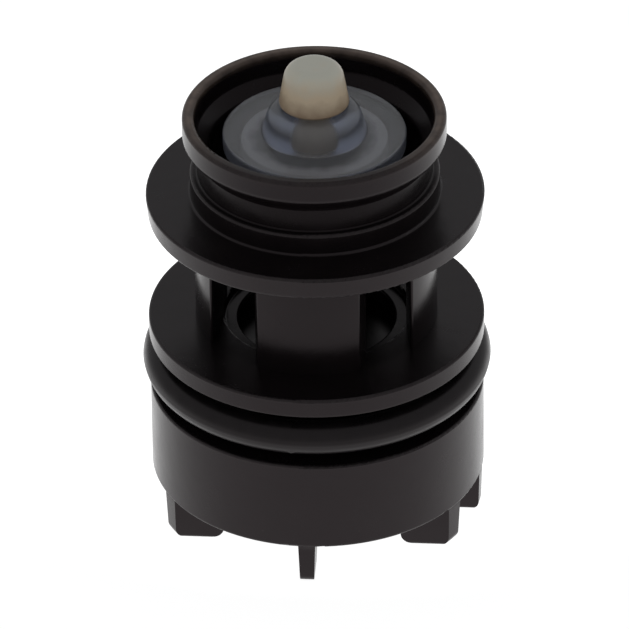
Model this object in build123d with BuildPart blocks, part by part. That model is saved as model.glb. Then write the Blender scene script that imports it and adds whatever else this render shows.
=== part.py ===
"""Three-way diverter valve cartridge for a boiler's hydraulic block, in millimetres.

The cartridge stands on its feet at z = 0 with its axis on Z, and its front foot points to -Y.
Water enters through the four windows in the middle. The stem stands up at rest: the upper disc is
clear of its seat, so the top cup is open, and the lower disc is shut against the lower seat.
Pushing the tip down by the stroke shuts the upper disc and opens the lower one.
"""

import os
from math import sqrt

from build123d import *

os.makedirs("parts", exist_ok=True)

# Driving dimensions ---------------------------------------------------------------------------
barrel_r = 12.6  # skirt, an easy fit in a 25.4 mm bore
cord_d = 2.62  # section of the O-ring
stroke = 3.0
running_gap = 0.05  # radial clearance of a sliding fit
seat_gap = 0.05  # left between a disc and its seat when it is shut

# Roundings of corners
fine = 0.1
crisp = 0.15
eased = 0.2
soft = 0.3
broad = 0.4

# Heights of the outside, from the feet up
feet_h = 3.3
skirt_top = feet_h + 7.3
lower_flange_z = skirt_top + 4.4
lower_flange_top = lower_flange_z + 1.5
upper_flange_z = lower_flange_top + 9.0
upper_flange_top = upper_flange_z + 1.7
shoulder_top = upper_flange_top + 1.75
rim_z = shoulder_top + 4.85
tip_z = rim_z + 4.25

# Upper body, outside
neck_r = 10.5  # floor of the O-ring groove
neck_end = skirt_top - 3.7
lower_flange_r = barrel_r + 0.05
hub_r = 9.1
flange_r = barrel_r + 0.1
flange_draft = 0.18  # the upper flange is this much smaller at its underside
shoulder_r = 9.35
seal_groove_r = 8.8
rim_r = 9.86
lip_h = 1.85
lip_root_h = 2.7  # from the rim down to the foot of the lip's rounded underside
lip_round = 0.7

# Upper body, inside
mouth_r = 8.95
mouth_h = 1.7  # from the rim down to the cone that narrows the mouth to the cup
cup_r = 7.9
cup_floor = upper_flange_top + 0.2
port_r = 5.9  # both ports, inside their seats
bead_r = 6.3  # middle of the raised bead on each seat
bead_crest = 0.25  # half-widths of the bead, at its crest and at its foot
bead_foot = 0.5
bead_h = 0.7
upper_seat_z = cup_floor + bead_h
web_z = lower_flange_z - 0.2  # underside of the wall that carries the lower seat
lower_seat_z = web_z - 0.5
chamber_r = 7.0
chamber_floor = lower_flange_top - 0.6
neck_bore_r = 8.6

# Windows, between the front or back column and a side column, measured at the hub's outside
column_half_w = 3.83
side_half_w = 7.4
window_lean = 0.14  # how far each wall moves sideways per millimetre of depth
column_face_y = sqrt(hub_r**2 - column_half_w**2)
side_face_y = sqrt(hub_r**2 - side_half_w**2)

# Snap joint between the neck and the cage's socket
snap_z = skirt_top - 1.7
snap_h = 0.25
snap_half_w = 0.6
snap_gap = 0.1

# Lower cage
cage_bore_r = 9.9
socket_r = neck_r + running_gap
socket_floor = neck_end - snap_gap
feet_t = 1.3
feet_draft = 2.0  # degrees on each side
feet_top_r = barrel_r - 0.03
feet_end_r = barrel_r - 0.13
feet_inner_r = cage_bore_r - 0.2
feet_outer_corner = 0.7
feet_inner_corner = 0.9
side_foot_y = 7.1  # outer faces of the four feet beside the front and back ones
end_foot_y = 2.1  # outer faces of the two feet at the ends
join = 0.3  # how far arms and feet run into the wall that they stand on
arm_w = 1.8

# Guides of the moving stack, and the spring's lower seat
upper_bush_r = 3.0
upper_boss_r = 3.8
upper_arm_t = 1.2
upper_boss_top = upper_flange_z + upper_arm_t
upper_boss_z = upper_boss_top - 3.0
lower_bush_r = 2.6
lower_boss_r = 3.5
lower_boss_top = feet_h + 4.1
lower_arm_t = 1.4
bush_flange_w = 0.7
bush_flange_t = 0.4
steel_t = 0.4
spring_seat_r = 5.2
spring_seat_z = feet_h + lower_arm_t
spring_z = spring_seat_z + steel_t

# Stem and upper disc
shaft_r = 1.6
stem_neck_r = 1.2  # groove that holds the silicone disc
tip_base_r = 2.65
tip_top_r = 2.08
tip_base_z = tip_z - 3.3
tip_round = 1.15
disc_r = 6.85
disc_z = upper_seat_z + stroke + seat_gap
disc_top = disc_z + 1.2
boss_r = 3.95
boss_shoulder_r = 3.35
boss_top = disc_top + 2.05
boss_round = 1.1
carrier_r = port_r - 0.45
carrier_z = disc_z - 1.1

# Lower disc and what clamps it, from the lower seat down
sleeve_r = 2.3
lower_disc_r = 6.95
lower_disc_top = lower_seat_z - seat_gap
lower_disc_z = lower_disc_top - 1.3
lower_washer_r = 3.5
lower_washer_top = lower_disc_top + steel_t
lower_carrier_r = 6.3
lower_carrier_z = lower_disc_z - 1.1
spring_cup_r = 5.0
spring_cup_z = lower_carrier_z - steel_t  # where the spring's upper end presses
spring_cup_edge_z = lower_carrier_z - 1.6
clip_r = 3.0
clip_groove_r = 1.25
clip_t = 0.5
clip_z = spring_cup_z - clip_t

# Spring
spring_r = 4.05
wire_d = 0.6
spring_turns = 4
spring_h = spring_cup_z - spring_z


def profile(*corners):
    """Closed outline beside the Z axis, from corners given as (radius, height, rounding)."""
    with BuildSketch(Plane.XZ) as outline:
        with BuildLine():
            FilletPolyline(
                [(radius, height) for radius, height, _ in corners],
                radius=[rounding for _, _, rounding in corners],
                close=True,
            )
        make_face()
    return outline.sketch


def ring(inner, outer, low, high, rounding):
    """Outline of a plain ring between two radii and two heights."""
    corners = ((inner, low), (outer, low), (outer, high), (inner, high))
    return profile(*((radius, height, rounding) for radius, height in corners))


def snap_bead(wall_r, half_w):
    """Outline of the snap joint's bead, standing out of a wall of that radius."""
    return profile(
        (wall_r - snap_h, snap_z - half_w, 0),
        (wall_r, snap_z - half_w, 0),
        (wall_r + snap_h, snap_z - half_w / 2, fine),
        (wall_r + snap_h, snap_z + half_w / 2, fine),
        (wall_r, snap_z + half_w, 0),
        (wall_r - snap_h, snap_z + half_w, 0),
    )


def spider(height, inner, outer, count, first_angle):
    """Plan, at a height, of the arms that hold a guide in the middle of a bore."""
    with BuildSketch(Plane.XY.offset(height)) as plan:
        with PolarLocations((inner + outer) / 2, count, start_angle=first_angle):
            Rectangle(outer - inner, arm_w)
    return plan.sketch


def write(piece, label):
    """Name the piece and write it to its own file."""
    piece.part.label = label
    export_step(piece.part, f"parts/{label}.step")


# Upper body: top cup, flanges, windowed hub and the neck that carries the O-ring ----------------
with BuildPart() as upper_body:
    revolve(
        profile(
            # Outside, from the neck's end up to the rim
            (neck_bore_r, neck_end, eased),
            (neck_r, neck_end, broad),
            (neck_r, lower_flange_z, eased),
            (lower_flange_r, lower_flange_z, crisp),
            (lower_flange_r, lower_flange_top, eased),
            (hub_r, lower_flange_top, 0),
            (hub_r, upper_flange_z, 0),
            (flange_r - flange_draft, upper_flange_z, crisp),
            (flange_r, upper_flange_top, eased),
            (shoulder_r, upper_flange_top, eased),
            (shoulder_r, shoulder_top, eased),
            (seal_groove_r, shoulder_top, crisp),
            (seal_groove_r, rim_z - lip_root_h, lip_round),
            (rim_r, rim_z - lip_h, lip_round),
            (rim_r, rim_z, soft),
            # Inside, from the mouth down to the neck's bore
            (mouth_r, rim_z, soft),
            (mouth_r - fine, rim_z - mouth_h, broad),
            (cup_r, rim_z - lip_root_h, broad),
            (cup_r, cup_floor, broad),
            (bead_r + bead_foot, cup_floor, fine),
            (bead_r + bead_crest, upper_seat_z, fine),
            (bead_r - bead_crest, upper_seat_z, fine),
            (port_r, upper_seat_z - broad, 0),
            (port_r, upper_flange_z, eased),
            (chamber_r, upper_flange_z, 0),
            (chamber_r, chamber_floor, eased),
            (port_r, chamber_floor, eased),
            (port_r, lower_seat_z + broad, 0),
            (bead_r - bead_crest, lower_seat_z, fine),
            (bead_r + bead_crest, lower_seat_z, fine),
            (bead_r + bead_foot, web_z, fine),
            (neck_bore_r, web_z, broad),
        ),
        axis=Axis.Z,
    )
    # Four windows, two through the front and two through the back, each widening outwards
    with BuildSketch(Plane.XY.offset(lower_flange_top)):
        with BuildLine():
            Polyline(
                (column_half_w + column_face_y * window_lean, 0),
                (side_half_w - side_face_y * window_lean, 0),
                (side_half_w + (hub_r - side_face_y) * window_lean, hub_r),
                (column_half_w - (hub_r - column_face_y) * window_lean, hub_r),
                close=True,
            )
        make_face()
        mirror(about=Plane.YZ)
        mirror(about=Plane.XZ)
    extrude(amount=upper_flange_z - lower_flange_top, mode=Mode.SUBTRACT)
    # Edges to round: the windows' upright ones, and the sills' where they meet the chamber
    window_edges = upper_body.edges().filter_by(Axis.Z).filter_by(lambda edge: abs(edge.center().Y) > shaft_r)
    sills = upper_body.edges().filter_by_position(Axis.Z, lower_flange_top - fine, lower_flange_top + fine)
    sill_rims = sills.filter_by(GeomType.CIRCLE).filter_by(lambda rim: abs(rim.radius - chamber_r) < fine)
    fillet([*window_edges, *sill_rims], crisp)
    # Bead that snaps into the cage's socket
    revolve(snap_bead(neck_r, snap_half_w), axis=Axis.Z)
    # Spider and boss that hold the upper guide bush
    extrude(spider(upper_flange_z, upper_bush_r, port_r + join, 3, 90), amount=upper_arm_t)
    revolve(ring(upper_bush_r, upper_boss_r, upper_boss_z, upper_boss_top, fine), axis=Axis.Z)
write(upper_body, "upper_body")

# Feet: thin plates that stand out of the cage's lower edge, with round corners ------------------
with BuildPart() as feet:
    with BuildSketch(Plane.XY.offset(feet_h + join)):
        Rectangle(feet_t, 2 * barrel_r)
        for side in (1, -1):
            with Locations((0, side * (side_foot_y - feet_t / 2))):
                Rectangle(2 * barrel_r, feet_t)
            with Locations((side * barrel_r, -side * (end_foot_y - feet_t / 2))):
                Rectangle(barrel_r, feet_t)
    extrude(amount=-(feet_h + join), taper=feet_draft)
    fillet(feet.edges().filter_by_position(Axis.Z, -fine, fine), soft)
    revolve(
        profile(
            (feet_inner_r, 0, feet_inner_corner),
            (feet_end_r, 0, feet_outer_corner),
            (feet_top_r, feet_h, 0),
            (feet_top_r, feet_h + join, 0),
            (feet_inner_r, feet_h + join, 0),
        ),
        axis=Axis.Z,
        mode=Mode.INTERSECT,
    )

# Lower cage: skirt below the O-ring, feet, and a spider that holds the lower guide bush ---------
with BuildPart() as lower_cage:
    revolve(
        profile(
            (cage_bore_r, feet_h, eased),
            (barrel_r, feet_h, eased),
            (barrel_r, skirt_top, eased),
            (socket_r, skirt_top, fine),
            (socket_r, socket_floor, 0),
            (cage_bore_r, socket_floor, fine),
        ),
        axis=Axis.Z,
    )
    revolve(snap_bead(socket_r, snap_half_w + snap_gap), axis=Axis.Z, mode=Mode.SUBTRACT)
    extrude(spider(feet_h, lower_boss_r, cage_bore_r + join, 4, 45), amount=lower_arm_t)
    revolve(ring(lower_bush_r, spring_seat_r, feet_h, spring_seat_z, crisp), axis=Axis.Z)
    revolve(ring(lower_bush_r, lower_boss_r, feet_h, lower_boss_top, crisp), axis=Axis.Z)
    add(feet.part)
write(lower_cage, "lower_cage")

# O-ring, lying on the groove's floor ------------------------------------------------------------
with BuildPart() as main_o_ring:
    with BuildSketch(Plane.XZ):
        with Locations((neck_r + 0.01 + cord_d / 2, (skirt_top + lower_flange_z) / 2)):
            Circle(cord_d / 2)
    revolve(axis=Axis.Z)
write(main_o_ring, "main_o_ring")

# Stem: shaft with the clip's groove, neck that holds the silicone disc, and domed tip -----------
with BuildPart() as stem:
    revolve(
        profile(
            (0, feet_h, 0),
            (shaft_r, feet_h, broad),
            (shaft_r, clip_z, 0),
            (clip_groove_r, clip_z, 0),
            (clip_groove_r, spring_cup_z, 0),
            (shaft_r, spring_cup_z, 0),
            (shaft_r, disc_z, 0),
            (stem_neck_r, disc_z, 0),
            (stem_neck_r, tip_base_z, fine),
            (tip_base_r, tip_base_z, eased),
            (tip_top_r, tip_z, tip_round),
            (0, tip_z, 0),
        ),
        axis=Axis.Z,
    )
write(stem, "stem")

# Upper seal: silicone disc with a rounded boss around the stem's neck ---------------------------
with BuildPart() as upper_seal_disc:
    revolve(
        profile(
            (stem_neck_r, disc_z, 0),
            (disc_r, disc_z, crisp),
            (disc_r, disc_top, eased),
            (boss_r, disc_top, eased),
            (boss_shoulder_r, boss_top, boss_round),
            (stem_neck_r, boss_top, crisp),
        ),
        axis=Axis.Z,
    )
write(upper_seal_disc, "upper_seal_disc")

# Stiff plate under the silicone disc ------------------------------------------------------------
with BuildPart() as upper_disc_carrier:
    revolve(ring(shaft_r, carrier_r, carrier_z, disc_z, fine), axis=Axis.Z)
write(upper_disc_carrier, "upper_disc_carrier")

# Sleeve that keeps the two discs apart and runs in the upper bush -------------------------------
with BuildPart() as spacer_sleeve:
    revolve(ring(shaft_r, sleeve_r, lower_washer_top, carrier_z, fine), axis=Axis.Z)
write(spacer_sleeve, "spacer_sleeve")

# Lower seal: washer, rubber disc and the stiff plate behind it ----------------------------------
with BuildPart() as lower_disc_washer:
    revolve(ring(shaft_r, lower_washer_r, lower_disc_top, lower_washer_top, fine), axis=Axis.Z)
write(lower_disc_washer, "lower_disc_washer")

with BuildPart() as lower_seal_disc:
    revolve(ring(shaft_r, lower_disc_r, lower_disc_z, lower_disc_top, crisp), axis=Axis.Z)
write(lower_seal_disc, "lower_seal_disc")

with BuildPart() as lower_disc_carrier:
    revolve(ring(shaft_r, lower_carrier_r, lower_carrier_z, lower_disc_z, eased), axis=Axis.Z)
write(lower_disc_carrier, "lower_disc_carrier")

# Pressed steel cup around the spring's upper end ------------------------------------------------
with BuildPart() as spring_cup:
    revolve(
        profile(
            (shaft_r, spring_cup_z, 0),
            (spring_cup_r - steel_t, spring_cup_z, fine),
            (spring_cup_r - steel_t, spring_cup_edge_z, fine),
            (spring_cup_r, spring_cup_edge_z, fine),
            (spring_cup_r, lower_carrier_z, steel_t),
            (shaft_r, lower_carrier_z, 0),
        ),
        axis=Axis.Z,
    )
write(spring_cup, "spring_cup")

# E-clip in the stem's groove: an open ring with two scallops in its bore ------------------------
with BuildPart() as stem_clip:
    with BuildSketch(Plane.XY.offset(clip_z)):
        Circle(clip_r)
        Circle(clip_groove_r, mode=Mode.SUBTRACT)
        with Locations((0, -clip_r / 2)):
            Rectangle(2 * (clip_groove_r - fine), clip_r, mode=Mode.SUBTRACT)
        with PolarLocations(clip_groove_r + broad, 2, start_angle=35, angular_range=110, endpoint=True):
            Circle(clip_t, mode=Mode.SUBTRACT)
    extrude(amount=clip_t)
write(stem_clip, "stem_clip")

# Return spring: round wire with its ends ground flat, standing on a steel washer ----------------
with BuildPart() as return_spring:
    with BuildLine() as coil:
        Helix(pitch=spring_h / spring_turns, height=spring_h, radius=spring_r, center=(0, 0, spring_z))
    with BuildSketch(Plane(origin=coil.line @ 0, z_dir=coil.line % 0)):
        Circle(wire_d / 2)
    sweep(is_frenet=True)
    split(bisect_by=Plane.XY.offset(spring_z), keep=Keep.TOP)
    split(bisect_by=Plane.XY.offset(spring_cup_z), keep=Keep.BOTTOM)
write(return_spring, "return_spring")

with BuildPart() as spring_washer:
    revolve(ring(lower_boss_r + fine, spring_seat_r - fine, spring_seat_z, spring_z, fine), axis=Axis.Z)
write(spring_washer, "spring_washer")

# Guide bushes, each with a flange under its boss ------------------------------------------------
for label, runner_r, outer_r, low, high in (
    ("upper_guide_bush", sleeve_r, upper_bush_r, upper_boss_z, upper_boss_top),
    ("lower_guide_bush", shaft_r, lower_bush_r, feet_h, lower_boss_top),
):
    with BuildPart() as bush:
        revolve(
            profile(
                (runner_r + running_gap, low - bush_flange_t, fine),
                (outer_r + bush_flange_w, low - bush_flange_t, fine),
                (outer_r + bush_flange_w, low, 0),
                (outer_r, low, 0),
                (outer_r, high, fine),
                (runner_r + running_gap, high, fine),
            ),
            axis=Axis.Z,
        )
    write(bush, label)
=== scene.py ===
from math import cos, exp, pi, radians, sin, tan, tau

import bpy
from mathutils import Matrix, Vector


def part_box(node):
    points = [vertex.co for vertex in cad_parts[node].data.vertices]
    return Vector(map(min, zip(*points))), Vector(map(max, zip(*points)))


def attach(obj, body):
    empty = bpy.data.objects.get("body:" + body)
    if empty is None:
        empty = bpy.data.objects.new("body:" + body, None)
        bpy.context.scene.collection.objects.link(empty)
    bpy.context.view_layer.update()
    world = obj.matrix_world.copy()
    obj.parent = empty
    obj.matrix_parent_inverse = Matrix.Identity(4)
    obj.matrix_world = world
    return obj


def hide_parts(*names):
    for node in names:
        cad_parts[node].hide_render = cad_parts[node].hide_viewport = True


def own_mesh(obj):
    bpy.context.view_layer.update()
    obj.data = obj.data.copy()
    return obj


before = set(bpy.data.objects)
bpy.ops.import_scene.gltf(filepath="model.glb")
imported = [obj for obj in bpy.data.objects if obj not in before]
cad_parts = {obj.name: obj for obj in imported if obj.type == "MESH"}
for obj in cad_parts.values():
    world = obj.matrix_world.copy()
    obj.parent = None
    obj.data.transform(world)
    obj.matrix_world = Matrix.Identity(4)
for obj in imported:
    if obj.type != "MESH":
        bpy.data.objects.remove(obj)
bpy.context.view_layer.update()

mm = 0.001

# Camera -----------------------------------------------------------------------------------------
view_azimuth = radians(4.4)
view_elevation = radians(33.1)
view_roll = radians(0.7)
view_distance = 688 * mm
view_lens = 522.4  # on the usual 36 mm sensor
aim_height = 15.97 * mm
aim_left = 0.16 * mm

# Light: a light table whose glow is centred behind the valve, in a white tent -------------------
floor_half = 4000 * mm
glow_centre = (0, 30 * mm, 0)
glow_r = 50 * mm  # full within this radius
glow_full = 0.92
glow_end_r = 120 * mm  # weak and even past this one
glow_weak = 0.55
core_r = 15 * mm  # the glow's brighter core: full within this radius
core_extra = 0.45
core_end_r = 45 * mm
tent_color = (0.97, 0.985, 1.0, 1)
tent_strength = 0.46

# Pieces that are made here ----------------------------------------------------------------------
touch = 0.02 * mm  # air left under the silicone and under the feet
neck_r = 1.2 * mm  # the stem's neck, inside the silicone's boss
disc_t = 1.2 * mm
boss_r = 3.95 * mm
boss_shoulder_r = 3.35 * mm
disc_edge_r = 0.15 * mm  # rounding of the silicone's edges
disc_rim_r = 0.2 * mm
boss_crown_r = 1.1 * mm
flash_h = 0.025 * mm  # line that the mould leaves around the O-ring
flash_w = radians(3)
burr_angle = radians(-94.7)  # of the one burr on the O-ring, about the valve's axis
burr_tilt = radians(-38)  # and about the cord's own centre
burr_w = 0.16 * mm
burr_h = 0.09 * mm
wire_r = 0.3 * mm
spring_turns = 5
closed_turns = 0.7  # at each end of the spring, where its coils touch
closed_pitch = 1.9 * wire_r  # rise of such a turn
pitch_change = 14  # how sharply the closed turns become open ones

# Edges of the black mouldings that rub and wear, lightened partly by painted highlight: radius and
# height of each circle
body_edges = ((9.86, 33.8), (9.35, 28.95), (12.7, 27.2), (12.52, 25.5), (12.65, 16.5), (12.65, 15.0))
# Top of the rim, under a painted highlight that is stronger towards the back
rim_top = ((9.4, 33.8),)
# Inner edges of the window sills, under painted glints
sill_edges = ((7.0, 16.5),)
# Edges of the cage that rub and wear, lightened partly by painted highlight
cage_edges = ((12.6, 10.6), (12.6, 3.3))

# Where the colour changes: heights on the stem, and a radius on the plate under the silicone
neck_top = (34.6 * mm, 34.7 * mm)
tip_foot = (34.9 * mm, 36.2 * mm)
tip_top = (36.4 * mm, 38.0 * mm)
grease_edge = (4.2 * mm, 4.9 * mm)

# Colours ----------------------------------------------------------------------------------------
moulding_deep = (0.0035, 0.0024, 0.0027, 1)
moulding_cloud = (0.0075, 0.0056, 0.0061, 1)
dust = (0.05, 0.047, 0.045, 1)
# Lighter edges: wear, and partly a painted highlight
scuff_and_edge_highlight = (0.03, 0.027, 0.027, 1)
# Painted highlight on the rim's top
rim_painted_highlight = (0.15, 0.112, 0.088, 1)
# Painted glints on the window sills
painted_glint = (0.3, 0.29, 0.29, 1)
rubber_deep = (0.003, 0.0024, 0.0026, 1)
rubber_bloom = (0.009, 0.0075, 0.008, 1)
silicone_deep = (0.74, 0.735, 0.75, 1)
silicone_pale = (0.84, 0.835, 0.85, 1)
silicone_inside = (0.3, 0.36, 0.5, 1)
silicone_density = 270.0  # how fast light fades inside it, per metre
cream_neck = (0.95, 0.78, 0.56, 1)
# Painted shade: the tip's foot, darker and browner where the cup's rim shades it
cream_foot_shade = (0.34, 0.245, 0.165, 1)
cream_side = (0.62, 0.50, 0.35, 1)
# Painted reflection: the domed tip's top, greyer
cream_top_reflection = (0.56, 0.55, 0.47, 1)
plate_pale = (0.88, 0.86, 0.83, 1)
plate_deep = (0.78, 0.76, 0.72, 1)
grease = (0.05, 0.052, 0.06, 1)
bush_pale = (0.80, 0.80, 0.79, 1)
bush_deep = (0.74, 0.74, 0.72, 1)
sheet_steel = (0.60, 0.60, 0.61)
drawn_steel = (0.52, 0.52, 0.54)
floor_grey = (0.2, 0.2, 0.2, 1)
floor_pale = (0.24, 0.24, 0.24, 1)


# Meshes -----------------------------------------------------------------------------------------
def rounded(corners, steps=8):
    """Points of a closed outline, from corners given as (radius, height, rounding)."""
    points = []
    for i, (x, z, rounding) in enumerate(corners):
        here = Vector((x, z))
        if not rounding:
            points.append(here)
            continue
        back = (Vector(corners[i - 1][:2]) - here).normalized()
        ahead = (Vector(corners[(i + 1) % len(corners)][:2]) - here).normalized()
        half = back.angle(ahead) / 2
        centre = here + (back + ahead).normalized() * rounding / sin(half)
        spoke = here + back * rounding / tan(half) - centre
        turn = (pi - 2 * half) * (-1 if back.cross(ahead) > 0 else 1)
        points += [centre + Matrix.Rotation(turn * k / steps, 2) @ spoke for k in range(steps + 1)]
    return points


def mesh_piece(name, points, faces):
    """A smooth-shaded mesh object."""
    mesh = bpy.data.meshes.new(name)
    mesh.from_pydata(points, [], faces)
    mesh.validate()
    mesh.shade_smooth()
    piece = bpy.data.objects.new(name, mesh)
    bpy.context.scene.collection.objects.link(piece)
    return piece


def ring_faces(rings, count):
    """Quads between neighbouring rings of a closed loop of rings, each with count points."""
    return [
        (a * count + k, b * count + k, b * count + (k + 1) % count, a * count + (k + 1) % count)
        for a, b in ((a, (a + 1) % rings) for a in range(rings))
        for k in range(count)
    ]


def lathe(name, outline, around):
    """The closed outline, as points of radius and height, turned about Z in that many steps."""
    points = [
        (p.x * cos(tau * a / around), p.x * sin(tau * a / around), p.y)
        for a in range(around)
        for p in outline
    ]
    piece = mesh_piece(name, points, ring_faces(around, len(outline)))
    piece.modifiers.new("even shading", "WEIGHTED_NORMAL")
    return piece


def silicone_disc():
    """Disc with a domed boss that fills the stem's neck."""
    low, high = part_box("upper_seal_disc")
    top = low.z + disc_t
    outline = rounded((
        (neck_r - touch, low.z + touch, 0),
        (high.x, low.z + touch, disc_edge_r),
        (high.x, top, disc_rim_r),
        (boss_r, top, disc_rim_r),
        (boss_shoulder_r, high.z, boss_crown_r),
        (neck_r - touch, high.z, disc_edge_r),
    ))
    piece = lathe("silicone_disc", outline, around=256)
    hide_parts("upper_seal_disc")
    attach(piece, "poppet")


def o_ring():
    """Round cord in a ring, with the mould's line on its outside and one small burr."""
    low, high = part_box("main_o_ring")
    cord_r = (high.z - low.z) / 2
    ring_r = high.x - cord_r
    middle = (high.z + low.z) / 2
    around, section = 540, 72
    points = []
    for a in range(around):
        angle = tau * a / around
        for s in range(section):
            tilt = tau * s / section - pi
            aside = (angle - burr_angle + pi) % tau - pi
            off = ((aside * ring_r) ** 2 + ((tilt - burr_tilt) * cord_r) ** 2) / burr_w**2
            r = cord_r - flash_h * (1 - exp(-((tilt / flash_w) ** 2))) + burr_h * exp(-off)
            out = ring_r + r * cos(tilt)
            points.append((out * cos(angle), out * sin(angle), middle + r * sin(tilt)))
    piece = mesh_piece("o_ring", points, ring_faces(around, section))
    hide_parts("main_o_ring")
    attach(piece, "housing")


def coil_spring():
    """Round wire with closed ends, ground flat where it meets the washer and the cup."""
    low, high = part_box("return_spring")
    coil_r = high.x - wire_r
    steps, section = 72 * spring_turns, 20
    step_turn = spring_turns / steps
    rise = high.z - low.z - wire_r

    def openness(turn):
        """0 in the closed turns at both ends, 1 in the open turns between them."""
        past_closed = min(turn, spring_turns - turn) - closed_turns
        return 1 / (1 + exp(-pitch_change * past_closed))

    shares = [openness((k + 0.5) * step_turn) for k in range(steps)]
    extra_pitch = (rise - closed_pitch * spring_turns) / (sum(shares) * step_turn)
    z = low.z + wire_r / 2
    points = []
    for k in range(steps + 1):
        angle = tau * k * step_turn
        for s in range(section):
            tilt = tau * s / section
            out = coil_r + wire_r * cos(tilt)
            height = min(max(z + wire_r * sin(tilt), low.z), high.z)
            points.append((out * cos(angle), out * sin(angle), height))
        if k < steps:
            z += (closed_pitch + extra_pitch * shares[k]) * step_turn
    sides = ring_faces(steps + 1, section)[:steps * section]  # without those from end to start
    start = tuple(range(section))
    end = tuple(reversed(range(steps * section, (steps + 1) * section)))
    faces = [*sides, start, end]
    piece = mesh_piece("coil_spring", points, faces)
    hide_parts("return_spring")
    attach(piece, "housing")
    height = high.z - low.z
    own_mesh(piece)


# Materials --------------------------------------------------------------------------------------
class Finish:
    """A node material: its shader, and short calls for the nodes that vary it over the surface."""

    def __init__(self, name, **sockets):
        self.material = bpy.data.materials.new(name)
        self.material.use_nodes = True
        self.tree = self.material.node_tree
        self.shader = self.tree.nodes["Principled BSDF"]
        for socket, value in sockets.items():
            self.shader.inputs[socket.replace("_", " ")].default_value = value
        self.place = self.tree.nodes.new("ShaderNodeTexCoord").outputs["Object"]
        self.parts = self.node("ShaderNodeSeparateXYZ", ((0, self.place),)).outputs

    def node(self, kind, inputs=(), **settings):
        """A new node; inputs are pairs of a socket and the value or output that feeds it."""
        made = self.tree.nodes.new(kind)
        for setting, value in settings.items():
            setattr(made, setting, value)
        for socket, value in inputs:
            if isinstance(value, bpy.types.NodeSocket):
                self.tree.links.new(value, made.inputs[socket])
            else:
                made.inputs[socket].default_value = value
        return made

    def scaled(self, scale):
        """The place on the piece, multiplied by that scale along X, Y and Z."""
        return self.node("ShaderNodeMapping", (("Vector", self.place), ("Scale", scale))).outputs[0]

    def noise(self, size, detail, stretch=(1, 1, 1)):
        """Cloudy values from 0 to 1, with features about that size."""
        place = self.scaled([s / size for s in stretch])
        made = self.node("ShaderNodeTexNoise", (("Vector", place), ("Scale", 1.0), ("Detail", detail)))
        return made.outputs["Fac"]

    def specks(self, spacing, size):
        """1 in small round specks, and 0 elsewhere."""
        place = self.scaled([1 / spacing] * 3)
        cells = self.node("ShaderNodeTexVoronoi", (("Vector", place), ("Scale", 1.0)))
        return self.between(cells.outputs["Distance"], size / spacing, 0.0, 0.0, 1.0)

    def between(self, value, low, high, to_low, to_high, curve="LINEAR"):
        """A value from to_low at low to to_high at high, and even past both."""
        given = (("Value", value), ("From Min", low), ("From Max", high))
        asked = (("To Min", to_low), ("To Max", to_high))
        return self.node("ShaderNodeMapRange", given + asked, interpolation_type=curve).outputs[0]

    def combine(self, operation, a, b):
        """Two values made one, by that operation of Blender's Math node."""
        return self.node("ShaderNodeMath", ((0, a), (1, b)), operation=operation).outputs[0]

    def blend(self, share, first, second):
        """A colour: the first where the share is 0, the second where it is 1."""
        made = self.node("ShaderNodeMix", (("Factor", share), (6, first), (7, second)), data_type="RGBA")
        return made.outputs[2]

    def radius(self):
        """Distance from the valve's axis."""
        flat = self.node("ShaderNodeCombineXYZ", (("X", self.parts["X"]), ("Y", self.parts["Y"])))
        made = self.node("ShaderNodeVectorMath", ((0, flat.outputs[0]),), operation="LENGTH")
        return made.outputs["Value"]

    def distance(self, here, there):
        """How far apart two places are."""
        made = self.node("ShaderNodeVectorMath", ((0, here), (1, there)), operation="DISTANCE")
        return made.outputs["Value"]

    def near_edges(self, circles, reach):
        """1 on the circles, given as radius and height in millimetres, falling to 0 at that reach."""
        across = self.node("ShaderNodeCombineXYZ", (("X", self.radius()), ("Z", self.parts["Z"])))
        here = across.outputs[0]
        nearest = None
        for r, z in circles:
            away = self.distance(here, (r * mm, 0, z * mm))
            nearest = away if nearest is None else self.combine("MINIMUM", nearest, away)
        return self.between(nearest, reach, 0.0, 0.0, 1.0)

    def bump(self, height, depth):
        """Makes the surface uneven by that depth, on top of any earlier bump."""
        made = self.node("ShaderNodeBump", (("Height", height), ("Distance", depth)))
        if self.shader.inputs["Normal"].is_linked:
            self.tree.links.new(self.shader.inputs["Normal"].links[0].from_socket, made.inputs["Normal"])
        self.tree.links.new(made.outputs[0], self.shader.inputs["Normal"])

    def set(self, socket, value):
        """Feeds the shader's socket with a value that varies over the surface."""
        self.tree.links.new(value, self.shader.inputs[socket])


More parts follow.
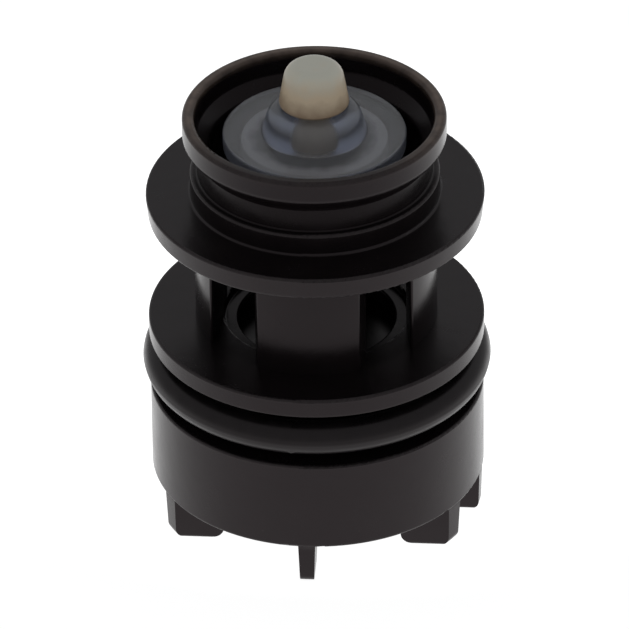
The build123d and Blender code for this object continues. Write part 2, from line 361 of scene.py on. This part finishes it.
def moulded_black(name, edges, painted_highlights=False):
    """Glossy black moulding: fine grain, flow marks, and lighter edges from wear and partly from painted
    highlight.

    With painted highlights it also has a painted highlight on the rim's top, stronger towards the back,
    painted glints on the window sills, and less shine inside its bores.
    """
    finish = Finish(name, IOR=1.36, Specular_Tint=(1.0, 0.86, 0.89, 1.0))
    clouds = finish.noise(3.0 * mm, 4.0)
    grain = finish.noise(0.14 * mm, 2.0)
    # Edges lighten with wear, and partly with a painted highlight
    wear_and_highlight = finish.combine("MULTIPLY", finish.near_edges(edges, 0.3 * mm), finish.noise(0.7 * mm, 5.0))
    plain = finish.blend(clouds, moulding_deep, moulding_cloud)
    dusty = finish.blend(finish.specks(1.9 * mm, 0.05 * mm), plain, dust)
    scuffed_and_highlit = finish.blend(wear_and_highlight, dusty, scuff_and_edge_highlight)
    if painted_highlights:
        # Painted highlight on the rim's top, stronger towards the back
        patches = finish.noise(1.2 * mm, 5.0)
        rim = finish.combine("MULTIPLY", finish.near_edges(rim_top, 0.8 * mm), patches)
        behind = finish.between(finish.parts["Y"], -8 * mm, -1 * mm, 0.1, 1.5)
        scuffed_and_highlit = finish.blend(finish.combine("MULTIPLY", rim, behind), scuffed_and_highlit, rim_painted_highlight)
        # Painted glints in patches along the sills' inner edges
        glint_patches = finish.between(finish.noise(1.1 * mm, 2.0), 0.47, 0.55, 0.0, 1.0)
        marks = finish.combine("MULTIPLY", finish.near_edges(sill_edges, 0.22 * mm), glint_patches)
        scuffed_and_highlit = finish.blend(marks, scuffed_and_highlit, painted_glint)
        shine = finish.between(finish.radius(), 9.2 * mm, 8.8 * mm, 0.5, 0.26)
        finish.set("Specular IOR Level", shine)
    finish.set("Base Color", scuffed_and_highlit)
    gloss = finish.between(clouds, 0.3, 0.7, 0.17, 0.24)
    gloss = finish.combine("ADD", gloss, finish.between(grain, 0.3, 0.7, 0.0, 0.05))
    finish.set("Roughness", finish.combine("ADD", gloss, finish.combine("MULTIPLY", wear_and_highlight, 0.25)))
    finish.bump(grain, 0.0015 * mm)
    finish.bump(finish.noise(1.6 * mm, 2.0), 0.012 * mm)
    return finish.material


def moulded_rubber():
    """Black rubber: a little duller than the mouldings, with a fine matt bloom."""
    finish = Finish("black_rubber", IOR=1.34, Specular_Tint=(1.0, 0.9, 0.92, 1.0))
    bloom = finish.noise(1.5 * mm, 5.0)
    grain = finish.noise(0.1 * mm, 2.0)
    finish.set("Base Color", finish.blend(bloom, rubber_deep, rubber_bloom))
    finish.set("Roughness", finish.between(bloom, 0.3, 0.7, 0.26, 0.36))
    finish.bump(grain, 0.002 * mm)
    return finish.material


def clear_silicone():
    """Frosted, faintly blue silicone that shows what it lies on, and is darker where it is thick."""
    finish = Finish("silicone", IOR=1.41, Transmission_Weight=0.9)
    clouds = finish.noise(2.2 * mm, 4.0)
    grain = finish.noise(0.2 * mm, 2.0)
    finish.set("Base Color", finish.blend(clouds, silicone_deep, silicone_pale))
    finish.set("Roughness", finish.between(clouds, 0.3, 0.7, 0.18, 0.27))
    finish.bump(grain, 0.0015 * mm)
    inside = (("Color", silicone_inside), ("Density", silicone_density))
    absorption = finish.node("ShaderNodeVolumeAbsorption", inside)
    finish.tree.links.new(absorption.outputs[0], finish.tree.nodes["Material Output"].inputs["Volume"])
    return finish.material


def natural_plastic(name, pale, deep, roughness):
    """Unpigmented plastic, cloudy with a satin skin."""
    finish = Finish(name, IOR=1.48)
    clouds = finish.noise(1.4 * mm, 5.0)
    grain = finish.noise(0.12 * mm, 2.0)
    finish.set("Base Color", finish.blend(clouds, pale, deep))
    finish.set("Roughness", finish.between(clouds, 0.3, 0.7, roughness - 0.05, roughness + 0.06))
    finish.bump(grain, 0.002 * mm)
    return finish.material


def cream_stem():
    """Natural plastic: painted reflection makes the domed tip's top greyer, and painted shade makes the
    tip browner towards its foot.
    """
    finish = Finish("stem_cream", IOR=1.48)
    clouds = finish.noise(1.1 * mm, 5.0)
    wander = finish.between(clouds, 0.3, 0.7, -0.3 * mm, 0.3 * mm)
    height = finish.combine("ADD", finish.parts["Z"], wander)
    # Painted shade browns the tip's foot; painted reflection greys its top
    side = finish.between(height, *tip_foot, 0.0, 1.0)
    top = finish.between(height, *tip_top, 0.0, 1.0)
    tip = finish.between(finish.parts["Z"], *neck_top, 0.0, 1.0)
    color = finish.blend(tip, cream_neck, cream_foot_shade)
    color = finish.blend(side, color, cream_side)
    finish.set("Base Color", finish.blend(top, color, cream_top_reflection))
    finish.set("Roughness", finish.between(clouds, 0.3, 0.7, 0.28, 0.4))
    finish.bump(finish.noise(0.12 * mm, 2.0), 0.002 * mm)
    return finish.material


def backing_plate():
    """Pale plate under the silicone, with dark grease in its middle, below the boss."""
    finish = Finish("carrier_natural", IOR=1.48)
    clouds = finish.noise(1.4 * mm, 5.0)
    pale = finish.blend(clouds, plate_pale, plate_deep)
    wander = finish.between(clouds, 0.3, 0.7, -0.25 * mm, 0.25 * mm)
    clean = finish.between(finish.combine("ADD", finish.radius(), wander), *grease_edge, 0.0, 1.0)
    finish.set("Base Color", finish.blend(clean, grease, pale))
    finish.set("Roughness", finish.between(clouds, 0.3, 0.7, 0.35, 0.46))
    finish.bump(finish.noise(0.12 * mm, 2.0), 0.002 * mm)
    return finish.material


def stainless(name, color, roughness, lines):
    """Bare steel, with fine lines along or across it from drawing or turning."""
    finish = Finish(name, Metallic=1.0)
    streaks = finish.noise(0.12 * mm, 3.0, stretch=lines)
    stain = finish.noise(2.0 * mm, 4.0)
    dark = [c * 0.82 for c in color] + [1]
    finish.set("Base Color", finish.blend(stain, dark, list(color) + [1]))
    finish.set("Roughness", finish.between(streaks, 0.3, 0.7, roughness - 0.06, roughness + 0.08))
    finish.bump(streaks, 0.0015 * mm)
    return finish.material


def studio_floor():
    """White floor lit from beneath, as a photographer's light table."""
    finish = Finish("floor", Roughness=0.9, Specular_IOR_Level=0.0, Emission_Color=(1, 1, 1, 1))
    finish.set("Base Color", finish.blend(finish.noise(60 * mm, 3.0), floor_grey, floor_pale))
    away = finish.distance(finish.place, glow_centre)
    disc = finish.between(away, glow_end_r, glow_r, glow_weak, glow_full, "SMOOTHSTEP")
    core = finish.between(away, core_end_r, core_r, 0.0, core_extra)
    finish.set("Emission Strength", finish.combine("ADD", disc, core))
    return finish.material


def dress(material, *names):
    """Gives the material to pieces and CAD nodes by name."""
    for name in names:
        piece = bpy.data.objects[name]
        piece.data.materials.clear()
        piece.data.materials.append(material)


# Studio -----------------------------------------------------------------------------------------
def add_floor():
    corners = [
        (x * floor_half, y * floor_half, -touch)
        for x, y in ((-1, -1), (1, -1), (1, 1), (-1, 1))
    ]
    floor = mesh_piece("floor", corners, [(0, 1, 2, 3)])
    floor.data.materials.append(studio_floor())


def add_light():
    """Even light from all round, as in a white tent."""
    world = bpy.data.worlds.new("tent")
    world.use_nodes = True
    sky = world.node_tree.nodes["Background"]
    sky.inputs["Color"].default_value = tent_color
    sky.inputs["Strength"].default_value = tent_strength
    bpy.context.scene.world = world


def add_camera():
    back = Vector((
        sin(view_azimuth) * cos(view_elevation),
        -cos(view_azimuth) * cos(view_elevation),
        sin(view_elevation),
    ))
    side = Vector((cos(view_azimuth), sin(view_azimuth), 0))
    camera = bpy.data.objects.new("camera", bpy.data.cameras.new("camera"))
    camera.data.lens = view_lens
    camera.rotation_mode = "QUATERNION"
    upright = (-back).to_track_quat("-Z", "Y")
    camera.rotation_quaternion = upright @ Matrix.Rotation(-view_roll, 3, "Z").to_quaternion()
    camera.location = Vector((0, 0, aim_height)) - side * aim_left + back * view_distance
    bpy.context.scene.collection.objects.link(camera)
    bpy.context.scene.camera = camera


add_camera()
add_light()
add_floor()
silicone_disc()
o_ring()
coil_spring()

dress(moulded_black("body_black", body_edges, painted_highlights=True), "upper_body")
dress(moulded_black("cage_black", cage_edges), "lower_cage", "lower_disc_carrier")
dress(moulded_rubber(), "o_ring", "lower_seal_disc")
dress(clear_silicone(), "silicone_disc")
dress(cream_stem(), "stem")
dress(backing_plate(), "upper_disc_carrier")
dress(
    natural_plastic("bush_white", bush_pale, bush_deep, 0.42),
    "upper_guide_bush",
    "lower_guide_bush",
)
dress(
    stainless("turned_steel", sheet_steel, 0.3, (1, 1, 6)),
    "spacer_sleeve",
    "lower_disc_washer",
    "spring_cup",
    "spring_washer",
)
dress(stainless("spring_steel", drawn_steel, 0.26, (1, 1, 3)), "coil_spring", "stem_clip")

bpy.context.scene.view_settings.view_transform = "Standard"
